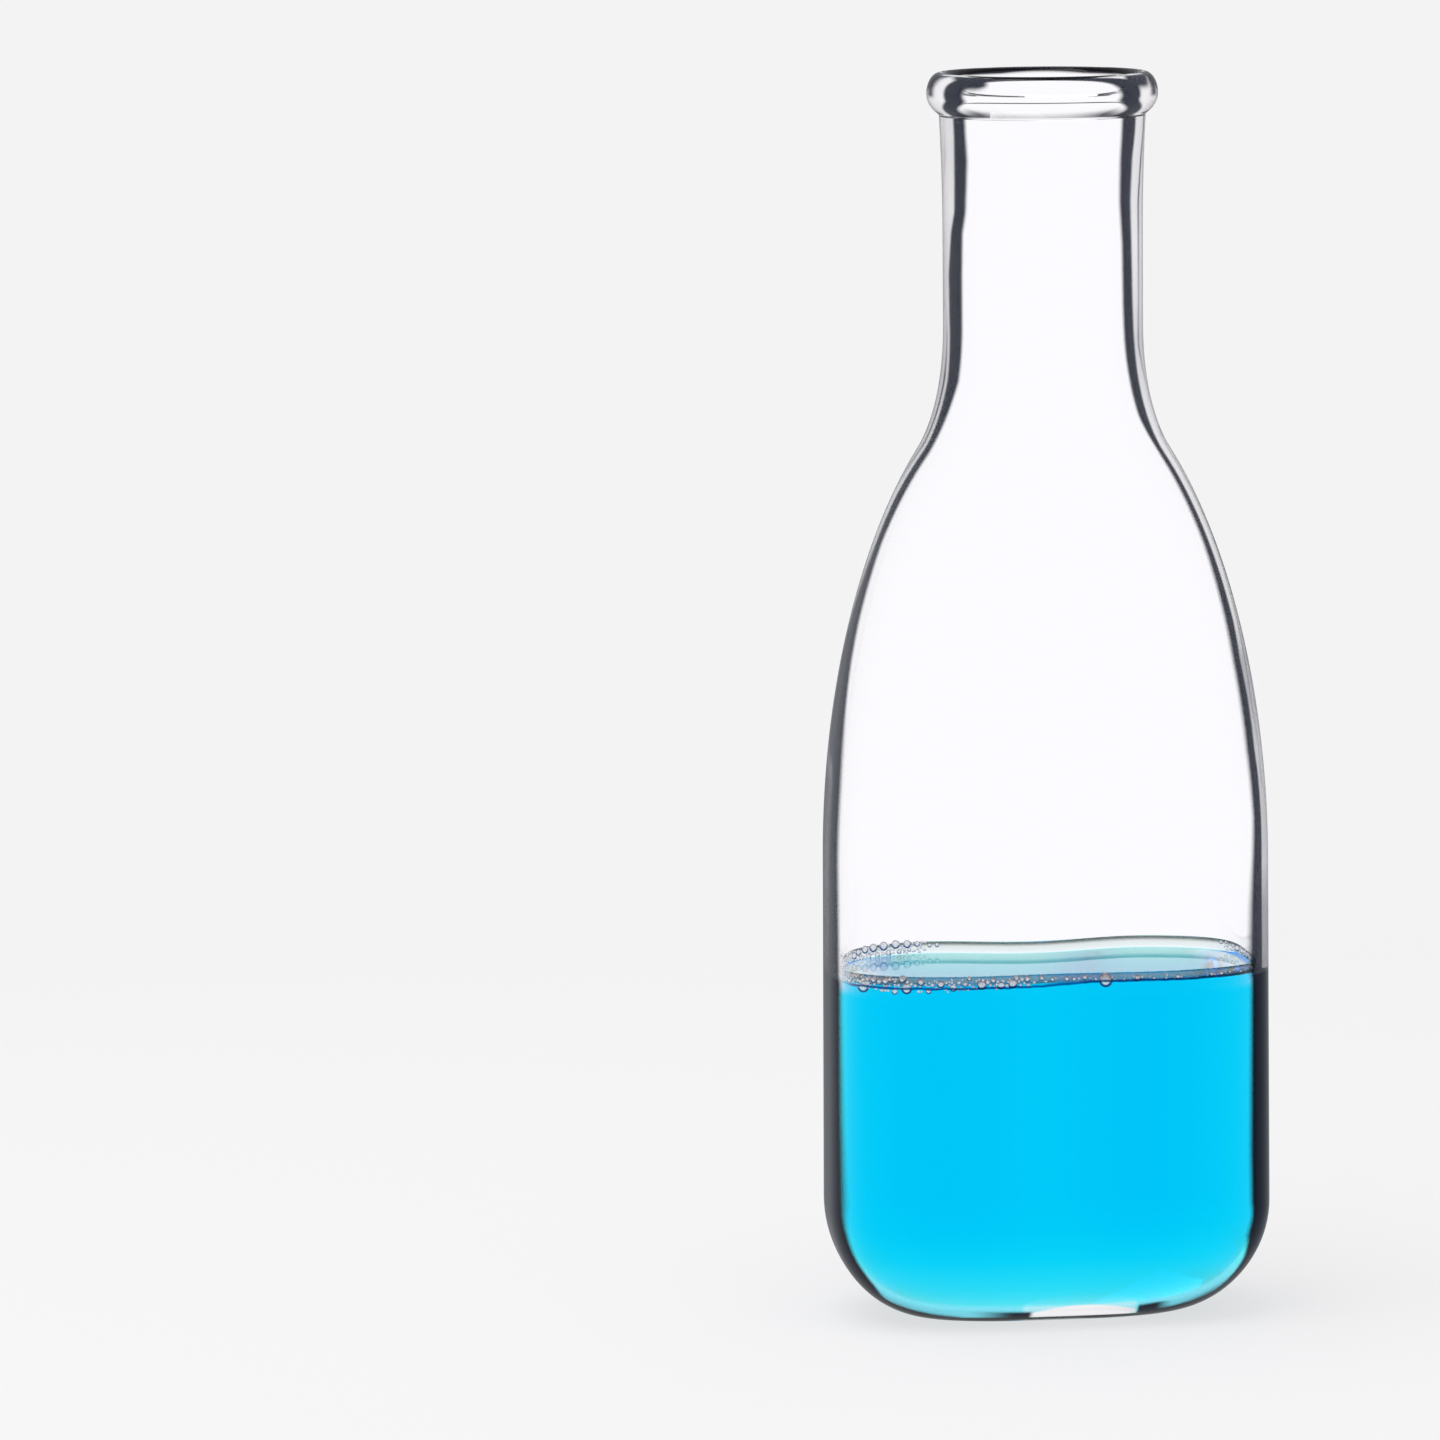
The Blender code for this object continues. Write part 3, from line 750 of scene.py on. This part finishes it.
def make_medium_material():
    """Blue dye that takes out the red and some of the green with the length of the way through it. The thin
    climbing rim bends the light away, which is painted as grey over a dark line in its colour; its level top
    has a painted sheen, and a painted glow lights its foot."""
    material, tree, shader = new_material("blue_medium")
    place, x, y, z = object_place(tree)
    rise = surface_rise(tree)
    rim_wobble = add_node(tree, "ShaderNodeTexNoise")
    rim_wobble.inputs["Scale"].default_value = RIM_WOBBLE_SCALE
    feed(tree, place, rim_wobble.inputs["Vector"])
    lifted = maths(tree, "MULTIPLY_ADD", fade(tree, x, RIM_LIFT_REACH), -RIM_FOOT_LIFT, z)
    uneven = maths(tree, "MULTIPLY_ADD", rim_wobble.outputs["Fac"], -RIM_UNEVEN, lifted)
    high = fade(tree, z, SLOPE_HEIGHT)
    # Painted shade of the rim: a dark line, grey above it and on the slope, and at the back a grey line over
    # pale.
    front = mix_colours(tree, fade(tree, uneven, NAVY_SPAN), CLEAR, RIM_NAVY)
    front = mix_colours(tree, fade(tree, uneven, GREY_SPAN), front, RIM_GREY)
    front = mix_colours(tree, maths(tree, "MULTIPLY", fade(tree, rise, SLOPE_RISE), high), front, SLOPE_GREY)
    back = mix_colours(tree, fade(tree, z, BACK_PALE_SPAN), CLEAR, BACK_PALE)
    back = mix_colours(tree, fade(tree, z, BACK_GREY_SPAN), back, BACK_GREY)
    look = mix_colours(tree, fade(tree, y, FRONT_DEPTH), CLEAR, front)
    look = mix_colours(tree, fade(tree, y, BACK_DEPTH), look, back)
    look = mix_colours(tree, fade(tree, rise, WALL_RISE), look, CLEAR)
    # Painted sheen on the level top where it is seen at a low angle.
    sheen = maths(tree, "MAXIMUM", fade(tree, edge_on(tree), LOW_ANGLE), high)
    look = mix_colours(tree, maths(tree, "MULTIPLY", fade(tree, rise, LEVEL_RISE), sheen), look, TOP_TINT)
    upper = maths(tree, "MULTIPLY", fade(tree, z, TOP_HEIGHT), sheen)
    top = maths(tree, "MULTIPLY", fade(tree, rise, TOP_RISE), upper)
    ends = maths(tree, "MULTIPLY", fade(tree, maths(tree, "ABSOLUTE", x), END_REACH), top)
    feed(tree, mix_colours(tree, ends, look, END_TINT), shader.inputs["Base Color"])
    # Painted glow in the emission: floor light at the foot, and the painted sheen on the top and its ends.
    light = ramp(tree, FOOT_LIGHT, maths(tree, "DIVIDE", z, FOOT_LIGHT_TOP))
    light = mix_colours(tree, top, light, TOP_SHEEN_GLOW)
    feed(tree, mix_colours(tree, ends, light, END_SHEEN_GLOW), shader.inputs["Emission Color"])
    shader.inputs["Emission Strength"].default_value = 1.0
    finish_clear(shader, MEDIUM_IOR)
    dye = add_node(tree, "ShaderNodeVolumeAbsorption")
    dye.inputs["Color"].default_value = DYE
    dye.inputs["Density"].default_value = DYE_DENSITY
    feed(tree, dye.outputs["Volume"], tree.nodes["Material Output"].inputs["Volume"])
    return material


def meniscus_height(run):
    """Height of the medium's surface at a distance in from its rim."""
    return MEDIUM_LEVEL + MENISCUS_RISE * math.exp(-max(run - RIM_LAND, 0.0) / MENISCUS_FADE)


def size_at(rings, height):
    """Half sizes of a run of rings at a height between two of them."""
    for lower, upper in zip(rings, rings[1:]):
        if lower[0] <= height <= upper[0]:
            share = (height - lower[0]) / (upper[0] - lower[0])
            return tuple(a + (b - a) * share for a, b in zip(lower[1:3], upper[1:3]))
    return rings[-1][1:3]


def make_medium():
    """Skin up the wetted wall to the rim of the meniscus, then inwards and down to the flat middle."""
    wall = heel_rings(WALL + FILM, FLOOR + FILM) + inner_wall(wall_outline(*MEDIUM_WALL_STEPS), WALL + FILM)
    half_width, half_depth = size_at(wall, RIM_TOP)
    rings = base_rings(FLOOR + FILM, FILM)
    rings += [ring for ring in wall if ring[0] < RIM_TOP - RIM_GAP]
    rings.append(section(RIM_TOP, half_width, half_depth))
    for i in range(MENISCUS_STEPS + 1):
        run = RIM_LAND + (MENISCUS_REACH - RIM_LAND) * (i / MENISCUS_STEPS) ** MENISCUS_CROWDING
        rings.append(section(meniscus_height(run), half_width - run, half_depth - run))
    for i in range(1, MIDDLE_STEPS):
        share = 1.0 - i / MIDDLE_STEPS
        rings.append((MEDIUM_LEVEL, (half_width - MENISCUS_REACH) * share,
                      (half_depth - MENISCUS_REACH) * share, BODY_EXPONENT, share * share))
    foot = FLOOR + FILM + PUSH_UP
    return loft("blue_medium", rings, foot, MEDIUM_LEVEL, [make_medium_material()], len(rings))


medium = make_medium()
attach(medium, "root")
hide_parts("culture_medium")


# Foam. Soap-thin bubbles of the medium that pouring has left along the front of its rim, dense on the left
# half, with a small raft at the back left, a few at the back right and one large bubble right of the middle.

BUBBLE_SEGMENTS = 18
BUBBLE_RINGS = 12
BUBBLE_GAP = 0.00008
BUBBLE_SQUASH = (0.93, 1.0)
TRIES_PER_BUBBLE = 12

# Turn about the bottle in degrees, height and radius in mm.
FRONT_BUBBLES = (
    (183, 67.6, 0.42), (214, 66.8, 1.06), (219, 68.5, 0.58), (223, 68.4, 0.67), (226, 66.5, 0.58),
    (228, 68.9, 0.77), (229, 67.0, 0.98), (233, 68.4, 0.67), (235, 66.8, 0.58), (238, 68.0, 0.67),
    (241, 67.3, 0.67), (244, 68.0, 0.48), (245, 69.1, 0.50), (248, 67.7, 0.86), (251, 68.6, 0.52),
    (253, 67.5, 0.72), (256, 67.8, 0.92), (260, 68.6, 0.58), (264, 68.7, 0.48), (267, 68.4, 0.38),
    (271, 68.4, 0.48), (273, 68.3, 0.38), (276, 68.6, 0.48), (290, 68.2, 0.61), (294, 68.1, 0.38),
    (300, 68.2, 0.48), (309, 68.3, 0.38), (312, 68.3, 0.38))
REAR_BUBBLES = (
    (147, 68.5, 0.70), (143, 68.9, 0.65), (139, 69.2, 0.80), (135, 69.3, 0.85), (131, 69.4, 0.90),
    (127, 69.5, 0.88), (123.5, 69.4, 0.80), (120.5, 69.3, 0.60), (117, 68.9, 0.42), (115, 68.9, 0.42),
    (141, 67.6, 0.62), (137, 67.7, 0.66), (133, 67.8, 0.62), (129, 67.9, 0.60), (125.5, 68.0, 0.52),
    (122.5, 68.2, 0.42), (145, 67.5, 0.50))
SIDE_BUBBLES = (
    (33, 69.1, 0.39), (30, 69.2, 0.29), (23, 69.0, 0.39), (16, 68.9, 0.58), (8, 68.9, 0.39),
    (28.5, 68.6, 0.29))
LARGE_BUBBLE = (282, 67.8, 1.29)

# The froth hangs lowest at this turn and thins out to either side.
FROTH_MIDDLE = 232.0
FROTH_REACH = 45.0

FILM_RISE = (-0.25, 0.35)
FOAM_IOR = 1.10
FOAM_ROUGHNESS = 0.05
# Strength of the painted glow that lightens the foam.
FOAM_GLOW_STRENGTH = 0.25
# Painted shade by how far a bubble turns edge-on: deep blue rims below and grey rims above.
BUBBLE_UNDER = (
    (0.0, (1.0, 1.0, 1.0)), (0.16, (0.92, 0.97, 1.0)), (0.28, (0.02, 0.06, 0.24)),
    (0.80, (0.004, 0.02, 0.14)), (1.0, (0.02, 0.08, 0.30)))
BUBBLE_OVER = (
    (0.0, (1.0, 1.0, 1.0)), (0.38, (0.96, 0.96, 0.98)), (0.55, (0.42, 0.42, 0.50)),
    (0.85, (0.25, 0.25, 0.32)), (1.0, (0.6, 0.6, 0.65)))
FROTH_UNDER = (
    (0.0, (1.0, 0.98, 1.0)), (0.30, (0.85, 0.86, 0.92)), (0.55, (0.10, 0.14, 0.30)),
    (1.0, (0.03, 0.08, 0.25)))
FROTH_OVER = (
    (0.0, (1.0, 1.0, 1.0)), (0.50, (0.95, 0.94, 0.96)), (0.75, (0.5, 0.48, 0.54)), (1.0, (0.7, 0.7, 0.74)))


def make_foam_material(name, under_stops, over_stops, clearness):
    """Thin film over air: pale in the middle, with a painted deep blue line where it turns edge-on below, a
    painted grey one above, and a painted glow of the same colours.
    """
    material, tree, shader = new_material(name)
    facing = edge_on(tree)
    under = ramp(tree, under_stops, facing)
    over = ramp(tree, over_stops, facing)
    look = mix_colours(tree, fade(tree, surface_rise(tree), FILM_RISE), under, over)
    feed(tree, look, shader.inputs["Base Color"])
    feed(tree, look, shader.inputs["Emission Color"])
    shader.inputs["Emission Strength"].default_value = FOAM_GLOW_STRENGTH
    shader.inputs["Roughness"].default_value = FOAM_ROUGHNESS
    shader.inputs["IOR"].default_value = FOAM_IOR
    shader.inputs["Transmission Weight"].default_value = clearness
    return material


bubble_material = make_foam_material("foam_bubbles", BUBBLE_UNDER, BUBBLE_OVER, clearness=0.30)
froth_material = make_foam_material("fine_froth", FROTH_UNDER, FROTH_OVER, clearness=0.12)


def bubble_place(turn, height, radius):
    """Centre of a bubble that lies against the inside of the straight glass wall. Degrees and mm come in."""
    height *= 0.001
    inset = WALL + radius * 0.001 + BUBBLE_GAP
    share = (height - HEEL_RISE) / (STRAIGHT_TOP - HEEL_RISE)
    half_width = (BODY_WIDTH + (SHOULDER_WIDTH - BODY_WIDTH) * share) / 2.0 - inset
    return Vector(ring_point(section(height, half_width, BODY_DEPTH / 2.0 - inset), math.radians(turn)))


def fill_bubbles(kept, count, turns, heights, radii, thinning=0.0):
    """Small bubbles that fill the room between the larger ones."""
    spheres = [(bubble_place(*bubble), bubble[2] * 0.001) for bubble in kept]
    found = []
    for attempt in range(count * TRIES_PER_BUBBLE):
        turn = random.uniform(*turns)
        radius = random.uniform(*radii)
        lowest = heights[0] + thinning * ease(abs(turn - FROTH_MIDDLE) / FROTH_REACH)
        height = random.uniform(lowest, heights[1])
        centre = bubble_place(turn, height, radius)
        if all((centre - other).length > radius * 0.001 + size for other, size in spheres):
            spheres.append((centre, radius * 0.001))
            found.append((turn, height, radius))
        if len(found) == count:
            break
    return tuple(found)


def add_bubble(points, faces, centre, size, squash):
    """One ball, a little flat, from its foot to its top."""
    first = len(points)
    points.append(centre - Vector((0.0, 0.0, size * squash)))
    for ring in range(1, BUBBLE_RINGS):
        fall = math.pi * ring / BUBBLE_RINGS
        for i in range(BUBBLE_SEGMENTS):
            around = 2.0 * math.pi * i / BUBBLE_SEGMENTS
            out = math.sin(fall)
            points.append(centre + size * Vector((out * math.cos(around), out * math.sin(around),
                                                  -squash * math.cos(fall))))
    points.append(centre + Vector((0.0, 0.0, size * squash)))
    last = len(points) - 1
    top = last - BUBBLE_SEGMENTS
    for i in range(BUBBLE_SEGMENTS):
        j = (i + 1) % BUBBLE_SEGMENTS
        faces.append((first, first + 1 + j, first + 1 + i))
        for ring in range(BUBBLE_RINGS - 2):
            low = first + 1 + ring * BUBBLE_SEGMENTS
            high = low + BUBBLE_SEGMENTS
            faces.append((low + i, low + j, high + j, high + i))
        faces.append((last, top + i, top + j))


def make_foam(name, node, bubbles, froth=()):
    """Balls of film against the glass, in one piece: the larger bubbles, then the froth between them."""
    points = []
    faces = []
    for turn, height, radius in bubbles + froth:
        squash = random.uniform(*BUBBLE_SQUASH)
        add_bubble(points, faces, bubble_place(turn, height, radius), radius * 0.001, squash)
    bubble_faces = len(bubbles) * BUBBLE_RINGS * BUBBLE_SEGMENTS
    mesh = bpy.data.meshes.new(name)
    mesh.from_pydata([tuple(point) for point in points], [], faces)
    mesh.shade_smooth()
    mesh.materials.append(bubble_material)
    mesh.materials.append(froth_material)
    mesh.polygons.foreach_set("material_index", [0 if i < bubble_faces else 1 for i in range(len(faces))])
    foam = bpy.data.objects.new(name, mesh)
    bpy.context.scene.collection.objects.link(foam)
    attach(foam, "root")
    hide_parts(node)


random.seed(7)
kept = FRONT_BUBBLES + (LARGE_BUBBLE,)
dense = fill_bubbles(kept, 120, turns=(184.0, 262.0), heights=(66.5, 69.0), radii=(0.2, 0.42), thinning=1.2)
sparse = fill_bubbles(kept + dense, 26, turns=(262.0, 330.0), heights=(68.0, 68.8), radii=(0.14, 0.26))
make_foam("front_foam_bubbles", "front_foam", FRONT_BUBBLES, dense + sparse)
raft = fill_bubbles(REAR_BUBBLES, 60, turns=(118.0, 156.0), heights=(67.4, 69.6), radii=(0.2, 0.42))
end_froth = fill_bubbles(REAR_BUBBLES + raft, 46, turns=(150.0, 186.0), heights=(67.5, 69.2),
                         radii=(0.22, 0.45))
make_foam("rear_foam_bubbles", "rear_foam", REAR_BUBBLES, raft + end_froth)
side_froth = fill_bubbles(SIDE_BUBBLES, 26, turns=(-12.0, 34.0), heights=(67.9, 69.3), radii=(0.16, 0.34))
make_foam("side_foam_bubbles", "side_foam", SIDE_BUBBLES, side_froth)
make_foam("large_foam_bubble", "large_bubble", (LARGE_BUBBLE,))


# Floor and backdrop. A plain pale sweep, which the object stands on. Further out it turns into the
# backdrop's own colour, so no line shows between the two.

PALE = (0.90, 0.895, 0.905)
ROOM = (0.30, 0.31, 0.33)
FIELD = (0.985, 0.972, 1.0)
FIELD_END = (0.10, 0.105, 0.12)
FIELD_RISE = (0.42, 0.75)
ROOM_LIGHT = (0.62, 0.62, 0.62)

FLOOR_COLOUR = (0.86, 0.86, 0.87)
FLOOR_ROUGHNESS = 0.8
FLOOR_RADIUS = 4.0
FLOOR_POINTS = 96
FLOOR_DROP = 0.0001
FLOOR_PLAIN_SHARE = 0.75
FLOOR_FADE = (0.15, 0.55)


def light_path(tree):
    """Light Path outputs by name, and 1 on a ray that has gone through glass."""
    path = add_node(tree, "ShaderNodeLightPath").outputs
    return path, maths(tree, "GREATER_THAN", path["Transmission Depth"], 0.5)


def make_world():
    """Pale for the camera and through glass, a dim room in outside reflections, and a plain light level."""
    world = bpy.data.worlds.new("studio")
    world.use_nodes = True
    tree = world.node_tree
    background = tree.nodes["Background"]
    path, through = light_path(tree)
    split = add_node(tree, "ShaderNodeSeparateXYZ")
    feed(tree, add_node(tree, "ShaderNodeTexCoord").outputs["Generated"], split.inputs["Vector"])
    rise = maths(tree, "ABSOLUTE", split.outputs["Z"])
    light = mix_colours(tree, path["Is Glossy Ray"], ROOM_LIGHT, ROOM)
    light = mix_colours(tree, path["Is Camera Ray"], light, PALE)
    field = mix_colours(tree, fade(tree, rise, FIELD_RISE), FIELD, FIELD_END)
    feed(tree, mix_colours(tree, through, light, field), background.inputs["Color"])
    background.inputs["Strength"].default_value = 1.0
    bpy.context.scene.world = world


make_world()


def make_floor_material():
    """Matt floor that keeps a faint shadow round the object and is plain elsewhere."""
    material, tree, shader = new_material("pale_floor")
    feed(tree, FLOOR_COLOUR, shader.inputs["Base Color"])
    shader.inputs["Roughness"].default_value = FLOOR_ROUGHNESS
    shader.inputs["Specular IOR Level"].default_value = 0.0
    path, through = light_path(tree)
    length = add_node(tree, "ShaderNodeVectorMath", operation="LENGTH")
    feed(tree, add_node(tree, "ShaderNodeTexCoord").outputs["Object"], length.inputs[0])
    plain = maths(tree, "MAXIMUM", fade(tree, length.outputs["Value"], FLOOR_FADE), FLOOR_PLAIN_SHARE)
    reflected = maths(tree, "MAXIMUM", path["Is Glossy Ray"], through)
    glow = add_node(tree, "ShaderNodeEmission")
    dim = mix_colours(tree, path["Is Glossy Ray"], PALE, ROOM)
    feed(tree, mix_colours(tree, through, dim, FIELD), glow.inputs["Color"])
    blend = add_node(tree, "ShaderNodeMixShader")
    feed(tree, maths(tree, "MAXIMUM", plain, reflected), blend.inputs["Fac"])
    feed(tree, shader.outputs["BSDF"], blend.inputs[1])
    feed(tree, glow.outputs["Emission"], blend.inputs[2])
    feed(tree, blend.outputs["Shader"], tree.nodes["Material Output"].inputs["Surface"])
    return material


def make_floor():
    """Round floor, a hair below the object so that the two don't share a plane."""
    turns = [2.0 * math.pi * i / FLOOR_POINTS for i in range(FLOOR_POINTS)]
    points = [(FLOOR_RADIUS * math.cos(turn), FLOOR_RADIUS * math.sin(turn), 0.0) for turn in turns]
    mesh = bpy.data.meshes.new("floor")
    mesh.from_pydata(points, [], [tuple(range(FLOOR_POINTS))])
    mesh.materials.append(make_floor_material())
    floor = bpy.data.objects.new("floor", mesh)
    floor.location = (0.0, 0.0, -FLOOR_DROP)
    bpy.context.scene.collection.objects.link(floor)


make_floor()


# Studio light and camera. One large soft lamp overhead, and a long lens a metre and a half in front of the
# bottle, a little to its left, above its middle and rolled by half a degree.

LAMP_PLACE = (-0.3, -0.2, 1.3)
LAMP_TARGET = (0.0, 0.0, 0.0)
LAMP_SIZE = 1.0
LAMP_POWER = 12.0


def add_lamp(name, place, target, size, power):
    """Square soft lamp turned towards a target."""
    data = bpy.data.lights.new(name, "AREA")
    data.shape = "SQUARE"
    data.size = size
    data.energy = power
    lamp = bpy.data.objects.new(name, data)
    lamp.location = place
    lamp.rotation_euler = (Vector(target) - Vector(place)).to_track_quat("-Z", "Y").to_euler()
    bpy.context.scene.collection.objects.link(lamp)


add_lamp("overhead_lamp", LAMP_PLACE, LAMP_TARGET, LAMP_SIZE, LAMP_POWER)

CAMERA_BEARING = math.radians(9.31)
CAMERA_YAW = math.radians(2.363)
CAMERA_PITCH = math.radians(7.660)
CAMERA_ROLL = math.radians(-0.527)
CAMERA_DISTANCE = 1.514
CAMERA_HEIGHT = 0.31949
CAMERA_LENS = 198.3


def add_camera():
    """Camera at a bearing from the front, turned in to the middle of the picture and then rolled."""
    data = bpy.data.cameras.new("camera")
    data.sensor_width = 36.0
    data.lens = CAMERA_LENS
    data.clip_start = 0.05
    data.clip_end = 50.0
    camera = bpy.data.objects.new("camera", data)
    camera.location = (-CAMERA_DISTANCE * math.sin(CAMERA_BEARING),
                       -CAMERA_DISTANCE * math.cos(CAMERA_BEARING), CAMERA_HEIGHT)
    turn = Euler((math.radians(90.0) - CAMERA_PITCH, 0.0, CAMERA_YAW - CAMERA_BEARING), "XYZ").to_matrix()
    camera.rotation_euler = (turn @ Matrix.Rotation(CAMERA_ROLL, 3, "Z")).to_euler("XYZ")
    bpy.context.scene.collection.objects.link(camera)
    bpy.context.scene.camera = camera


add_camera()
bpy.context.scene.view_settings.view_transform = "Standard"
